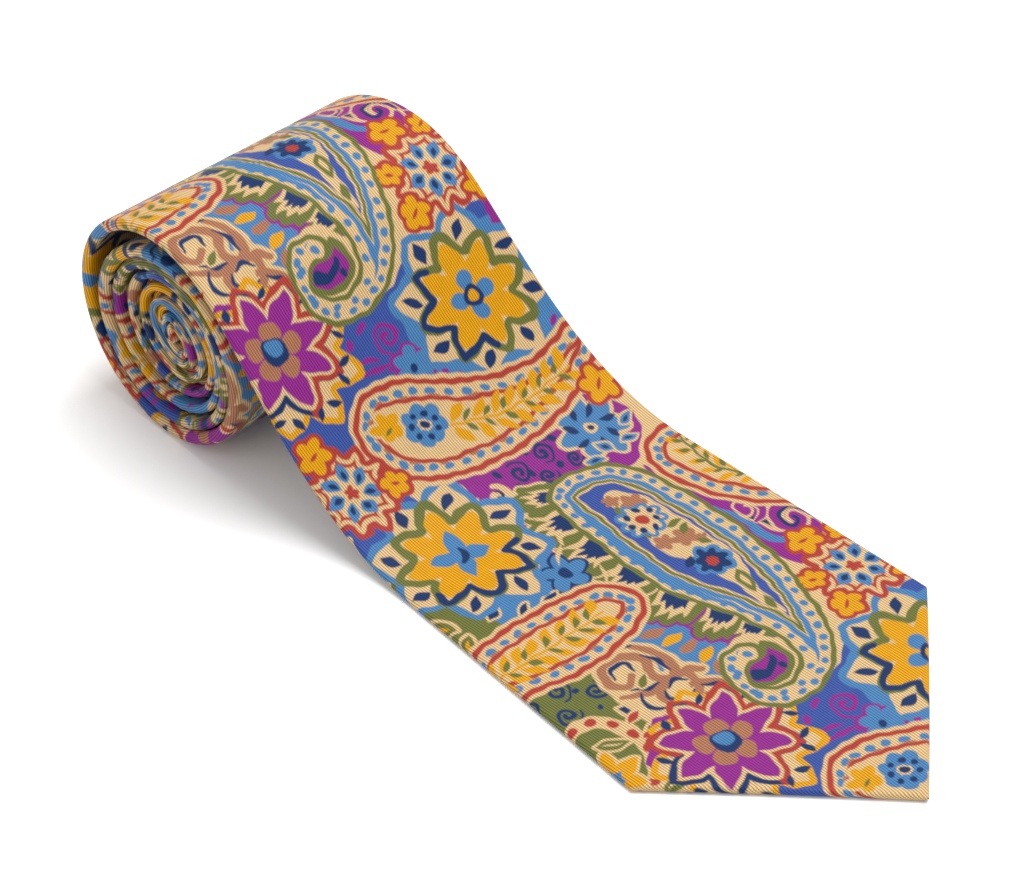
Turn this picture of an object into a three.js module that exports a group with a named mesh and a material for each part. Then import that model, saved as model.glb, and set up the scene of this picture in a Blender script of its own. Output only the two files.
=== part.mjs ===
// A printed silk necktie, folded in half, rolled up from the fold, with its wide
// blade drawn off the top of the roll and laid flat in front of it.
// Units are millimetres. X runs along the flat blade towards its tip, Y across the
// tie, Z up. The origin is at the bottom centre of the whole object.
import * as THREE from 'three';

// ---------- Driving dimensions ----------
const TIE_LENGTH = 1470; // tip to tip, flat
const ROLL_AXIS_BACK = 209.6; // from the blade's tip back to the axis of the roll
const ROLL_AXIS_UP = 28.3;
const ROLL_RADIUS = 29.8; // middle of the outermost layer where the blade leaves the roll
const LEAVE_ANGLE = THREE.MathUtils.degToRad(20.6); // from the top of the roll, to the front
const LAYER_STEP = 2.07; // from one layer to the next, through the roll
const FOLD_RADIUS = 3.2; // where the wide half ends at the fold
const SLACK = { height: 3, centre: Math.PI * 0.25, reach: Math.PI * 0.7 }; // loose outer turn
const CORE_FLAT = { size: 0.8, angle: Math.PI * 0.28, fade: 5 }; // how oval the core is
const TOUCH_DOWN = 122; // from the tip to the line where the blade leaves the ground
const RISE_LOW_HANDLE = 42.9; // Bezier handles of the S curve from the ground to the roll
const RISE_HIGH_HANDLE = 24.2;
const SIDE_DRIFT = -8.6; // sideways shift of the tie between the touch-down and the roll
const NEAR_EDGE = -47.1; // the near ends of the coils line up here
const TURN_STEPS = 20; // flats to one turn of the roll
const RISE_STEPS = 16; // flats to the S curve
const FOLD_STEPS = 6; // flats to the half circle of the fold
const FLAT_STATIONS = [0, 1.5, 12, 24, 36, 47.5, 62, 80, 100]; // from the tip, on the ground

const THICK = 1.85; // the whole tie, front to back
const SILK = 0.3;
const EDGE_GAP = 0.45; // between a folded edge and the interlining inside it
const SLIT = 0.45; // half the gap between the two back flaps
const CUT_GAP = 0.3; // between two pieces that meet end to end

// Distance from the blade's tip, and half the tie's width there.
const HALF_WIDTHS = [
  [0, 0], [47.5, 47.5], [235, 38.5], [330, 33.8], [560, 26], [760, 21], [1000, 18],
  [1447.5, 22.5], [TIE_LENGTH, 0],
];
const ROLL_START = 236; // the rising cloth and the rolled cloth are separate solids here
const BLADE_SEAM = 760; // seam between the silk of the blade and of the neck
const TAIL_SEAM = 1090; // seam between the silk of the neck and of the tail
const BLADE_TACK = 134;
const TAIL_TACK = 1395;
const HEM = 9; // how far the flaps are turned in along the pointed ends
const BLADE_OPENING = 0.36; // how fast the flaps part from the tack towards the tip
const TAIL_OPENING = 0.3;
const INTERLINING_JOIN = 880;

const MID_X = (ROLL_AXIS_BACK + ROLL_RADIUS + 1) / 2;

const MATERIALS = {
  silk: { color: 0x4a6cb8, roughness: 0.5 },
  silkNeck: { color: 0xd9a12e, roughness: 0.5 },
  silkTail: { color: 0x93339b, roughness: 0.5 },
  interlining: { color: 0xe9e2d2, roughness: 0.95 },
  tipping: { color: 0x2c4f8e, roughness: 0.4 },
  loop: { color: 0x3f74b4, roughness: 0.5 },
  label: { color: 0x223a66, roughness: 0.6 },
  thread: { color: 0xd8c8a0, roughness: 0.7 },
};

const smooth = (t) => THREE.MathUtils.smoothstep(t, 0, 1);

function halfWidth(s) {
  const next = HALF_WIDTHS.findIndex(([at]) => at > s);
  if (next < 0) return 0;
  const [s0, w0] = HALF_WIDTHS[next - 1];
  const [s1, w1] = HALF_WIDTHS[next];
  return w0 + ((w1 - w0) * (s - s0)) / (s1 - s0);
}

// ---------- The path of the tie, seen from the side ----------
// A path point's place is in the XZ plane, and its turn is how far round the roll it lies.

function slackAt(turn) {
  const t = (turn - SLACK.centre) / SLACK.reach;
  return Math.abs(t) < 1 ? SLACK.height * Math.cos((t * Math.PI) / 2) ** 2 : 0;
}

function onRoll(turn, radius) {
  const angle = LEAVE_ANGLE - turn;
  const fade = THREE.MathUtils.clamp((radius - 1) / CORE_FLAT.fade, 0, 1);
  const oval = CORE_FLAT.size * fade * Math.cos(2 * (angle - CORE_FLAT.angle));
  const r = radius + oval;
  return new THREE.Vector2(-ROLL_AXIS_BACK + r * Math.sin(angle), ROLL_AXIS_UP + r * Math.cos(angle));
}

const wideRadius = (turn) => ROLL_RADIUS - (2 * LAYER_STEP * turn) / (2 * Math.PI);
const FOLD_TURN = ((ROLL_RADIUS - FOLD_RADIUS) / (2 * LAYER_STEP)) * 2 * Math.PI;
const widePoint = (turn) => onRoll(turn, wideRadius(turn) + slackAt(turn));
const narrowPoint = (turn) => onRoll(turn, wideRadius(turn) - LAYER_STEP);

// The points of the path, each with the turn that its sideways place follows, and
// whether it lies on the wide half's turns.
const OFF_THE_ROLL = -1;
function tracePath() {
  const points = [];
  const add = (place, turn, wide = false) => points.push({ place, turn, wide });
  const level = THICK / 2;

  for (const s of FLAT_STATIONS) {
    add(new THREE.Vector2(-s, level), OFF_THE_ROLL);
  }

  const top = widePoint(0);
  const slope = new THREE.Vector2(Math.cos(LEAVE_ANGLE), -Math.sin(LEAVE_ANGLE));
  const ground = new THREE.Vector2(-TOUCH_DOWN, level);
  const low = ground.clone().add(new THREE.Vector2(-RISE_LOW_HANDLE, 0));
  const high = top.clone().addScaledVector(slope, RISE_HIGH_HANDLE);
  const rise = new THREE.CubicBezierCurve(ground, low, high, top);
  for (let i = 0; i < RISE_STEPS; i += 1) {
    add(rise.getPoint(i / RISE_STEPS), OFF_THE_ROLL);
  }

  const step = (2 * Math.PI) / TURN_STEPS;
  const stops = Math.floor(FOLD_TURN / step);
  for (let i = 0; i <= stops; i += 1) {
    add(widePoint(i * step), i * step, true);
  }

  // The fold: half a circle from the wide layer in to the narrow one.
  const outer = widePoint(stops * step);
  const inner = narrowPoint(stops * step);
  const middle = outer.clone().add(inner).multiplyScalar(0.5);
  const arm = outer.clone().sub(middle);
  for (let i = 1; i < FOLD_STEPS; i += 1) {
    const swing = arm.clone().rotateAround(new THREE.Vector2(), (Math.PI * i) / FOLD_STEPS);
    add(middle.clone().add(swing), stops * step);
  }

  for (let i = stops; i >= 0; i -= 1) {
    add(narrowPoint(i * step), i * step);
  }
  return points;
}

// Measures the path and gives each point its distance s from the tip, the direction
// that the printed face looks in, and the sideways place of the tie's middle.
function measurePath() {
  const points = tracePath();
  let s = 0;
  points.forEach((point, i) => {
    if (i > 0) s += point.place.distanceTo(points[i - 1].place);
    point.s = s;
    const before = points[Math.max(i - 1, 0)].place;
    const after = points[Math.min(i + 1, points.length - 1)].place;
    const along = after.clone().sub(before).normalize();
    point.face = new THREE.Vector2(along.y, -along.x);
  });
  const wideHalf = points.filter((point) => point.wide);
  const rollStart = wideHalf[0].s;
  for (const point of points) {
    const drift = smooth((point.s - TOUCH_DOWN) / (rollStart - TOUCH_DOWN));
    point.side = SIDE_DRIFT * drift;
    if (point.turn > 0) {
      const partner = wideHalf.find((other) => Math.abs(other.turn - point.turn) < 1e-6);
      point.side = NEAR_EDGE + halfWidth(partner.s);
    }
  }
  return points;
}

const PATH = measurePath();

function stationAt(s) {
  const next = Math.max(1, PATH.findIndex((point) => point.s > s));
  const a = PATH[next - 1];
  const b = PATH[next];
  const t = (s - a.s) / (b.s - a.s);
  return {
    s,
    place: a.place.clone().lerp(b.place, t),
    face: a.face.clone().lerp(b.face, t),
    side: a.side + (b.side - a.side) * t,
  };
}

function stationsBetween(start, end) {
  const inside = PATH.filter((point) => point.s > start + 0.5 && point.s < end - 0.5);
  return [stationAt(start), ...inside, stationAt(end)];
}

// ---------- Solids swept along the path ----------
// A section is a closed outline of [across, up] points, anticlockwise as seen from the
// tip's side with the printed face up.
function sweep(stations, sectionAt) {
  const rings = stations.map((station) => sectionAt(station.s).map(([across, up]) => [
    station.place.x + station.face.x * up + MID_X,
    station.side + across,
    station.place.y + station.face.y * up,
  ]));
  const count = rings[0].length;
  const index = [];
  for (let i = 0; i + 1 < rings.length; i += 1) {
    for (let j = 0; j < count; j += 1) {
      const a = i * count + j;
      const b = i * count + ((j + 1) % count);
      index.push(a, b + count, b, a, a + count, b + count);
    }
  }
  const capOf = (s) => THREE.ShapeUtils.triangulateShape(
    sectionAt(s).map(([x, y]) => new THREE.Vector2(x, y)), [],
  );
  const last = (rings.length - 1) * count;
  for (const [a, b, c] of capOf(stations[0].s)) index.push(a, b, c);
  for (const [a, b, c] of capOf(stations.at(-1).s)) index.push(last + a, last + c, last + b);
  const geometry = new THREE.BufferGeometry();
  geometry.setAttribute('position', new THREE.Float32BufferAttribute(rings.flat(2), 3));
  geometry.setIndex(index);
  return geometry;
}

// A flat strip of cloth: half as wide as reach(s), between two heights in the tie.
function strip(start, end, reach, bottom, top) {
  return sweep(stationsBetween(start, end), (s) => {
    const half = typeof reach === 'function' ? reach(s) : reach;
    return [[-half, bottom], [half, bottom], [half, top], [-half, top]];
  });
}

// Half the gap between the back flaps: a slit along the seam, opening into a V
// towards each pointed end, down to a hem along the point itself.
function flapGap(s) {
  const open = s < BLADE_TACK
    ? SLIT + (BLADE_TACK - s) * BLADE_OPENING
    : SLIT + Math.max(0, s - TAIL_TACK) * TAIL_OPENING;
  return Math.max(SLIT, Math.min(open, halfWidth(s) - HEM));
}

// Silk wrapped round the interlining: the printed front, both folded edges and the
// two flaps that nearly meet along the middle of the back.
function silkSection(s) {
  const half = Math.max(halfWidth(s), 1.5);
  const gap = Math.min(flapGap(s), half - SILK - 0.1);
  const back = -THICK / 2;
  const front = THICK / 2;
  const inner = half - SILK;
  return [
    [-half, back], [-gap, back], [-gap, back + SILK], [-inner, back + SILK],
    [-inner, front - SILK], [inner, front - SILK], [inner, back + SILK], [gap, back + SILK],
    [gap, back], [half, back], [half, front], [-half, front],
  ];
}

const silk = (start, end) => sweep(stationsBetween(start, end), silkSection);

const INTERLINING_HEIGHTS = [-0.275, 0.475];
const TIPPING_HEIGHTS = [-0.525, -0.375];
const insideReach = (s) => halfWidth(s) - SILK - EDGE_GAP;
const interlining = (start, end) => strip(start, end, insideReach, ...INTERLINING_HEIGHTS);
const tipping = (start, end) => strip(start, end, insideReach, ...TIPPING_HEIGHTS);

// The slip stitch lies in the slit between the flaps and swings a little from one
// flap to the other.
function slipStitch(start, end) {
  const thread = { half: 0.16, bottom: -0.84, top: -0.54, swing: 0.14 };
  const stations = stationsBetween(start, end);
  return sweep(stations, (s) => {
    const shift = thread.swing * (stations.findIndex((station) => station.s === s) % 2 ? 1 : -1);
    const { half, bottom, top } = thread;
    return [[shift - half, bottom], [shift + half, bottom], [shift + half, top], [shift - half, top]];
  });
}

// A bar tack is a short bar of satin stitches that closes an end of the slit. The
// blade's stands proud of the back, and the tail's is pressed flush between the flaps.
const TACK_LENGTH = 1.4;
const TACK_HALF = 3.5;
function barTack(at, halfAcross, bottom, top) {
  return strip(at - TACK_LENGTH / 2, at + TACK_LENGTH / 2, halfAcross, bottom, top);
}
const proudTack = (at) => barTack(at, TACK_HALF, -THICK / 2 - 0.45, -THICK / 2 - 0.08);
const flushTack = (at) => barTack(at, SLIT - 0.08, -THICK / 2, -THICK / 2 + SILK);

// The keeper loop is a band across the back, held at both ends and raised between.
const LOOP = { start: 196, end: 208, half: 26, foot: 4, rise: 0.9, cloth: 0.35, lift: 0.1 };
function keeperLoop() {
  const { half, foot, rise, cloth, lift } = LOOP;
  const low = -THICK / 2 - lift;
  const high = low - rise;
  return sweep(stationsBetween(LOOP.start, LOOP.end), () => [
    [-half, low - cloth], [-half + foot, low - cloth], [-half + 2 * foot, high - cloth],
    [half - 2 * foot, high - cloth], [half - foot, low - cloth], [half, low - cloth],
    [half, low], [half - foot, low], [half - 2 * foot, high],
    [-half + 2 * foot, high], [-half + foot, low], [-half, low],
  ]);
}

// A short bar of stitches at one place across the tie, on top of what it holds.
function stitchBar(start, end, across, half, bottom, top) {
  return sweep(stationsBetween(start, end), () => [
    [across - half, bottom], [across + half, bottom], [across + half, top], [across - half, top],
  ]);
}

function loopStitches(side) {
  const top = -THICK / 2 - LOOP.lift - LOOP.cloth - 0.05;
  const across = side * (LOOP.half - LOOP.foot / 2);
  return stitchBar(LOOP.start + 1, LOOP.end - 1, across, 0.5, top - 0.3, top);
}

// A small blank label, held by a bar of stitches along each end.
const LABEL = { start: 150, end: 172, half: 21, top: -THICK / 2 - 0.12, cloth: 0.2 };
const label = () => strip(LABEL.start, LABEL.end, LABEL.half, LABEL.top - LABEL.cloth, LABEL.top);
function labelStitches(side) {
  const top = LABEL.top - LABEL.cloth - 0.05;
  return stitchBar(LABEL.start + 1, LABEL.end - 1, side * (LABEL.half - 1.2), 0.3, top - 0.2, top);
}

// A seam's thread fills the gap between two lengths of silk, in the front layer.
const SEAM_GAP = 0.5; // half the space left for a seam between two lengths of silk
function seamThread(at) {
  const half = halfWidth(at) - 1;
  const front = THICK / 2;
  return strip(at - SEAM_GAP / 2, at + SEAM_GAP / 2, half, front - SILK, front - 0.03);
}

// ---------- Assembly ----------
const necktie = new THREE.Group();

function addPiece(name, geometry, look) {
  const material = new THREE.MeshStandardMaterial({ ...MATERIALS[look], metalness: 0 });
  const mesh = new THREE.Mesh(geometry, material);
  mesh.name = name;
  necktie.add(mesh);
}

const cut = CUT_GAP / 2;
const TIP_START = 1.5;
const LINED = { blade: 9, tail: 6 }; // how far the inner pieces stop short of the tips
const TIPPING_END = { blade: TOUCH_DOWN - 10, tail: TAIL_TACK + 6 };

// The free end of the wide blade, which lifts off the ground.
addPiece('silk_blade_free_end', silk(TIP_START, TOUCH_DOWN - cut), 'silk');
addPiece('interlining_free_end', interlining(LINED.blade, TOUCH_DOWN - cut), 'interlining');
addPiece('tipping_blade', tipping(LINED.blade, TIPPING_END.blade), 'tipping');

// The S curve up to the roll, and the turns of the roll from there to the tail's tip.
addPiece('silk_blade_rise', silk(TOUCH_DOWN + cut, ROLL_START - cut), 'silk');
addPiece('silk_blade_rolled', silk(ROLL_START + cut, BLADE_SEAM - SEAM_GAP), 'silk');
addPiece('interlining_blade', interlining(TOUCH_DOWN + cut, INTERLINING_JOIN - cut), 'interlining');
addPiece('silk_neck', silk(BLADE_SEAM + SEAM_GAP, TAIL_SEAM - SEAM_GAP), 'silkNeck');
addPiece('silk_tail', silk(TAIL_SEAM + SEAM_GAP, TIE_LENGTH - TIP_START), 'silkTail');
addPiece(
  'interlining_tail',
  interlining(INTERLINING_JOIN + cut, TIE_LENGTH - LINED.tail), 'interlining',
);
addPiece('tipping_tail', tipping(TIPPING_END.tail, TIE_LENGTH - LINED.tail), 'tipping');

// What is sewn to the back.
addPiece('keeper_loop', keeperLoop(), 'loop');
addPiece('blank_label', label(), 'label');

// The threads.
addPiece('slip_stitch_thread', slipStitch(BLADE_TACK + 2, TAIL_TACK - 2), 'thread');
addPiece('bar_tack_blade', proudTack(BLADE_TACK), 'thread');
addPiece('bar_tack_tail', flushTack(TAIL_TACK), 'thread');
addPiece('seam_thread_blade_to_neck', seamThread(BLADE_SEAM), 'thread');
addPiece('seam_thread_neck_to_tail', seamThread(TAIL_SEAM), 'thread');
for (const [end, side] of [['near', -1], ['far', 1]]) {
  addPiece(`keeper_loop_stitches_${end}`, loopStitches(side), 'thread');
  addPiece(`label_stitches_${end}`, labelStitches(side), 'thread');
}

export default necktie;
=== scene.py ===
# The printed silk necktie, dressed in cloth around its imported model: a tie folded in
# half, rolled up from the fold, with the wide blade drawn off the roll and laid flat.
import math

import bpy
import numpy as np
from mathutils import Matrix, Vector


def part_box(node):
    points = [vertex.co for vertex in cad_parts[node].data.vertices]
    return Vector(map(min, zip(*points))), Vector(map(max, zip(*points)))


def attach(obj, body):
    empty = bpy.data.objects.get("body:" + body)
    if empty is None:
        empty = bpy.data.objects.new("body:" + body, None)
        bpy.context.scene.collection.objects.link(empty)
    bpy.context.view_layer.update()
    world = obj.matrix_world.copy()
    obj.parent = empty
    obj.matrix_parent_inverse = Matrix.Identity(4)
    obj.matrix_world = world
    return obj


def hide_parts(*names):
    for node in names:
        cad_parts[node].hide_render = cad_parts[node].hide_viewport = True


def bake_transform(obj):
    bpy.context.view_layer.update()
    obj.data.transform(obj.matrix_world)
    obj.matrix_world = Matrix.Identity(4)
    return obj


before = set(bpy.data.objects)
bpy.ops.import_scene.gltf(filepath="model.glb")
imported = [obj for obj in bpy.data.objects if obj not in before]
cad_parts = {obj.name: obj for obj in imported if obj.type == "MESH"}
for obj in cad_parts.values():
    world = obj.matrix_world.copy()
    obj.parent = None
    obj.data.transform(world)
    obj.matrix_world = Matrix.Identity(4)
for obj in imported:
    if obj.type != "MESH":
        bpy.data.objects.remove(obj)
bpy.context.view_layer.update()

MM = 0.001

# ---------- The tie's dimensions, in millimetres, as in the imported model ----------
# X runs along the flat blade towards its tip, Y across the tie, Z up.
TIP_CUT = 1.5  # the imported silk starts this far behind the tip
TIP_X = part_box("silk_blade_free_end")[1].x / MM + TIP_CUT
TIE_LENGTH = 1470
ROLL_AXIS_BACK = 209.6  # from the tip back to the axis of the roll
ROLL_AXIS_UP = 28.3
ROLL_RADIUS = 29.8
LEAVE_ANGLE = math.radians(20.6)  # from the top of the roll, to the front
LAYER_STEP = 2.07
FOLD_TURN = 2 * math.pi * 6.4  # how far the wide half winds in before the fold
SLACK_HEIGHT = 3
SLACK_CENTRE = math.pi * 0.25
SLACK_REACH = math.pi * 0.7
OVAL_ANGLE = math.pi * 0.28
OVAL_RADII = [1, 6, 26]  # the core is flattened one way, and the outer turns the other
OVAL_SIZES = [0, -1.2, 0.8]
TOUCH_DOWN = 122  # from the tip to where the blade leaves the ground
RISE_LOW_HANDLE = 42.9
RISE_HIGH_HANDLE = 24.2
NEAR_EDGE = -47.1  # the near ends of the outer turns line up here
CORE_SET_BACK = 3.6  # how far the inner turns are pushed in from the near end
SET_BACK_STARTS = 4  # radians round the roll
SET_BACK_RUNS = 22
HALF_THICK = 0.925
HALF_WIDTHS = np.array([
    [TIP_CUT, 0], [47.5, 47.5], [235, 38.5], [330, 33.8], [560, 26], [760, 21], [1000, 18],
    [1447.5, 22.5], [TIE_LENGTH, 0],
])
ROLL_START = 236
INNER_TURNS = 440  # the silk of the blade is meshed more coarsely inside the roll
CREST_START = 178
POINT_END = 62  # the point is a piece of its own, from the tip to here
BLADE_SEAM = 760
TAIL_SEAM = 1090
BLADE_TACK = 134
TAIL_TACK = 1395
POINT_LENGTH = 47.5
POINT_SKEW = -2.0  # the tip lies a little to the near side
POINT_EASING = 4  # between the slanting edges of the point and the long edges
HEM = 9


def smooth_step(t):
    t = np.clip(t, 0, 1)
    return t * t * (3 - 2 * t)


def half_width(s):
    return np.interp(s, HALF_WIDTHS[:, 0], HALF_WIDTHS[:, 1])


# ---------- The path of the tie, seen from the side ----------
def on_roll(turn, radius):
    angle = LEAVE_ANGLE - turn
    oval = np.interp(radius, OVAL_RADII, OVAL_SIZES)
    r = radius + oval * np.cos(2 * (angle - OVAL_ANGLE))
    x = TIP_X - ROLL_AXIS_BACK + r * np.sin(angle)
    return np.stack([x, ROLL_AXIS_UP + r * np.cos(angle)], axis=-1)


def wide_point(turn):
    t = (turn - SLACK_CENTRE) / SLACK_REACH
    slack = np.where(np.abs(t) < 1, SLACK_HEIGHT * np.cos(t * math.pi / 2) ** 2, 0)
    return on_roll(turn, ROLL_RADIUS - LAYER_STEP * turn / math.pi + slack)


def narrow_point(turn):
    return on_roll(turn, ROLL_RADIUS - LAYER_STEP * turn / math.pi - LAYER_STEP)


def bezier(corners, count):
    t = np.linspace(0, 1, count, endpoint=False)[:, None]
    a, b, c, d = (np.array(corner) for corner in corners)
    return a * (1 - t) ** 3 + 3 * b * t * (1 - t) ** 2 + 3 * c * t * t * (1 - t) + d * t**3


def soften(values, reach):
    """A running average with a bell of this reach, in samples."""
    taps = np.exp(-0.5 * (np.arange(-3 * reach, 3 * reach + 1) / reach) ** 2)
    padded = np.pad(values, 3 * reach, mode="reflect", reflect_type="odd")
    return np.convolve(padded, taps / taps.sum(), mode="valid")


class Path:
    """The middle of the tie's thickness, sampled every SAMPLE mm of its length."""

    SAMPLE = 0.25
    KINK_REACH = 14  # mm on each side of the kink where the loose outer turn begins
    EASING = 24  # samples

    def __init__(self):
        ground = np.array([TIP_X - TOUCH_DOWN, HALF_THICK])
        top = wide_point(np.array(0.0))
        slope = np.array([math.cos(LEAVE_ANGLE), -math.sin(LEAVE_ANGLE)])
        flat = np.linspace([TIP_X, HALF_THICK], ground, 200, endpoint=False)
        rise = bezier(
            [ground, ground - [RISE_LOW_HANDLE, 0], top + slope * RISE_HIGH_HANDLE, top], 400
        )
        turns_in = np.linspace(0, FOLD_TURN, 3600)
        outer, inner = wide_point(turns_in[-1]), narrow_point(turns_in[-1])
        middle, arm = (outer + inner) / 2, (outer - inner) / 2
        swing = np.linspace(0, math.pi, 24)[1:-1, None]
        across = np.array([-arm[1], arm[0]])
        fold = middle + arm * np.cos(swing) + across * np.sin(swing)
        turns_out = turns_in[::-1]
        points = np.vstack([flat, rise, wide_point(turns_in), fold, narrow_point(turns_out)])
        turns = np.concatenate([
            np.full(len(flat) + len(rise), -1.0), turns_in, np.full(len(fold), FOLD_TURN), turns_out,
        ])
        length = np.concatenate([[0], np.cumsum(np.hypot(*np.diff(points, axis=0).T))])
        roll_start = len(flat) + len(rise)
        wide = slice(roll_start, roll_start + len(turns_in))
        narrow = slice(len(points) - len(turns_out), len(points))
        self.roll_s = length[roll_start]

        self.s = np.arange(0, TIE_LENGTH + self.SAMPLE, self.SAMPLE)
        x = np.interp(self.s, length, points[:, 0])
        z = np.interp(self.s, length, points[:, 1])
        turn = np.interp(self.s, length, turns)
        partner_wide = np.interp(turn, turns[wide], length[wide])
        partner_narrow = np.interp(turn, turns[narrow][::-1], length[narrow][::-1])
        on_the_roll = self.s > self.roll_s
        start_side = NEAR_EDGE + half_width(self.roll_s)
        drift = smooth_step((self.s - TOUCH_DOWN) / (self.roll_s - TOUCH_DOWN))
        set_back = CORE_SET_BACK * smooth_step((turn - SET_BACK_STARTS) / SET_BACK_RUNS)
        rolled_side = NEAR_EDGE + half_width(partner_wide) + set_back
        side = np.where(on_the_roll, rolled_side, start_side * drift)
        # How far the narrow layer inside stops short of this one's edge.
        overhang = half_width(self.s) - half_width(partner_narrow)
        self.overhang = np.where(on_the_roll & (self.s < length[wide][-1]), overhang, 0)

        near_kink = np.exp(-(((self.s - self.roll_s) / self.KINK_REACH) ** 2))
        self.x = x + (soften(x, self.EASING) - x) * near_kink
        self.z = z + (soften(z, self.EASING) - z) * near_kink
        towards_tip = np.clip(1 - self.s / POINT_LENGTH, 0, 1)
        self.side = soften(side, self.EASING) + POINT_SKEW * towards_tip**2
        self.angle = np.unwrap(np.arctan2(np.gradient(self.z), np.gradient(self.x)))

    def at(self, s):
        """Place x, side, z and the way (x, z) that the printed face looks at s."""
        angle = np.interp(s, self.s, self.angle)
        x, side, z = (np.interp(s, self.s, line) for line in (self.x, self.side, self.z))
        return x, side, z, np.sin(angle), -np.cos(angle)


PATH = Path()

# ---------- The print: a periodic drawing of paisleys and flowers ----------
# p runs along the tie from its tip and q across it, both in millimetres. The print is
# turned a little against the tie.
PERIOD_P = 150.3
PERIOD_Q = 112.0
Q_START = -50.0
PRINT_TURN = math.atan2(9.3, 150)
CELL = 0.15  # of the canvas that the print is drawn on
EDGE_SOFTNESS = 0.26
INKS = {  # sRGB
    "cream": (242, 204, 147),
    "yellow": (246, 174, 8),
    "red": (196, 68, 58),
    "magenta": (160, 44, 152),
    "sky": (82, 142, 198),
    "blue": (66, 94, 176),
    "navy": (26, 58, 112),
    "olive": (120, 126, 62),
    "tan": (190, 127, 94),
}


def linear(colour):
    value = np.array(colour, float) / 255
    return np.where(value <= 0.04045, value / 12.92, ((value + 0.055) / 1.055) ** 2.4)


INK_LINEAR = {name: linear(colour) for name, colour in INKS.items()}
COLUMNS = round(PERIOD_P / CELL)
ROWS = round(PERIOD_Q / CELL)
canvas = np.tile(INK_LINEAR["cream"], (ROWS, COLUMNS, 1))


def hand_wobble():
    """Small slow shifts of the drawing, so that no line is perfectly even."""
    p = np.arange(COLUMNS) / COLUMNS * 2 * math.pi
    q = np.arange(ROWS)[:, None] / ROWS * 2 * math.pi
    shift_p = 0.22 * np.sin(9 * p + 11 * q + 1) + 0.16 * np.sin(23 * q - 14 * p + 2)
    shift_q = 0.22 * np.sin(11 * p - 7 * q + 3) + 0.16 * np.sin(25 * p + 13 * q)
    return shift_p, shift_q


WOBBLE_P, WOBBLE_Q = hand_wobble()


def spline(points, closed=True, steps=6):
    """A Catmull-Rom curve through the points."""
    points = np.array(points, float)
    if closed:
        around = np.vstack([points[-1], points, points[:2]])
    else:
        around = np.vstack([2 * points[0] - points[1], points, 2 * points[-1] - points[-2]])
    a, b, c, d = around[:-3, None], around[1:-2, None], around[2:-1, None], around[3:, None]
    t = (np.arange(steps) / steps)[None, :, None]
    curve = 2 * b + (c - a) * t + (2 * a - 5 * b + 4 * c - d) * t**2
    curve = 0.5 * (curve + (3 * b - 3 * c + d - a) * t**3)
    curve = curve.reshape(-1, points.shape[1])
    return curve if closed else np.vstack([curve, points[-1:]])


def turned(p, q, x, y, degrees):
    """Points (x, y) turned round the origin and moved to (p, q)."""
    c, s = math.cos(math.radians(degrees)), math.sin(math.radians(degrees))
    return np.stack([p + x * c - y * s, q + x * s + y * c], axis=1)


class Window:
    """The cells of the canvas round some points."""

    def __init__(self, points, margin):
        low = np.floor((points.min(0) - margin) / CELL).astype(int)
        high = np.ceil((points.max(0) + margin) / CELL).astype(int)
        first_row = round(Q_START / CELL)
        columns = np.arange(low[0], high[0]) % COLUMNS
        rows = (np.arange(low[1], high[1]) - first_row) % ROWS
        self.cells = np.ix_(rows, columns)
        self.p = np.arange(low[0], high[0])[None, :] * CELL + WOBBLE_P[self.cells]
        self.q = np.arange(low[1], high[1])[:, None] * CELL + WOBBLE_Q[self.cells]

    def lay(self, distance, ink):
        cover = np.clip(0.5 - distance / EDGE_SOFTNESS, 0, 1)[..., None]
        canvas[self.cells] += (INK_LINEAR[ink] - canvas[self.cells]) * cover


def nearest(window, start, end):
    """How far each cell is from a segment, and how far along the segment it lies."""
    d = end - start
    dp, dq = window.p - start[0], window.q - start[1]
    along = np.clip((dp * d[0] + dq * d[1]) / max(d[0] ** 2 + d[1] ** 2, 1e-9), 0, 1)
    return (dp - along * d[0]) ** 2 + (dq - along * d[1]) ** 2, along


def shape(outline, *layers):
    """Fills a closed outline with bands of ink, each from its inset inwards."""
    margin = 0.6 + max(0, -min(inset for inset, _ in layers))
    window = Window(outline, margin)
    squared = np.full(window.p.shape, 1e9)
    inside = np.zeros(window.p.shape, bool)
    for start, end in zip(outline, np.roll(outline, -1, axis=0)):
        squared = np.minimum(squared, nearest(window, start, end)[0])
        if start[1] != end[1]:
            crosses = (window.q < start[1]) != (window.q < end[1])
            at = start[0] + (window.q - start[1]) * (end[0] - start[0]) / (end[1] - start[1])
            inside ^= crosses & (window.p < at)
    distance = np.sqrt(squared) * np.where(inside, -1, 1)
    for inset, ink in layers:
        window.lay(distance + inset, ink)


def patch(points, *layers):
    """A rounded shape through the points."""
    shape(spline(points), *layers)


def stroke(points, ink, *widths):
    """A brush stroke through the points. Its widths are spread along it evenly."""
    line = spline(points, closed=False)
    brush = np.interp(np.linspace(0, 1, len(line)), np.linspace(0, 1, len(widths)), widths) / 2
    window = Window(line, max(widths) / 2 + 0.5)
    distance = np.full(window.p.shape, 1e3)
    for i in range(len(line) - 1):
        squared, along = nearest(window, line[i], line[i + 1])
        reach = brush[i] + (brush[i + 1] - brush[i]) * along
        distance = np.minimum(distance, np.sqrt(squared) - reach)
    window.lay(distance, ink)


def dot(p, q, radius, ink, long=1.0, degrees=0.0):
    """A round or oval dot."""
    angle = np.linspace(0, 2 * math.pi, 14, endpoint=False)
    shape(turned(p, q, radius * long * np.cos(angle), radius * np.sin(angle), degrees), (0, ink))


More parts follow.
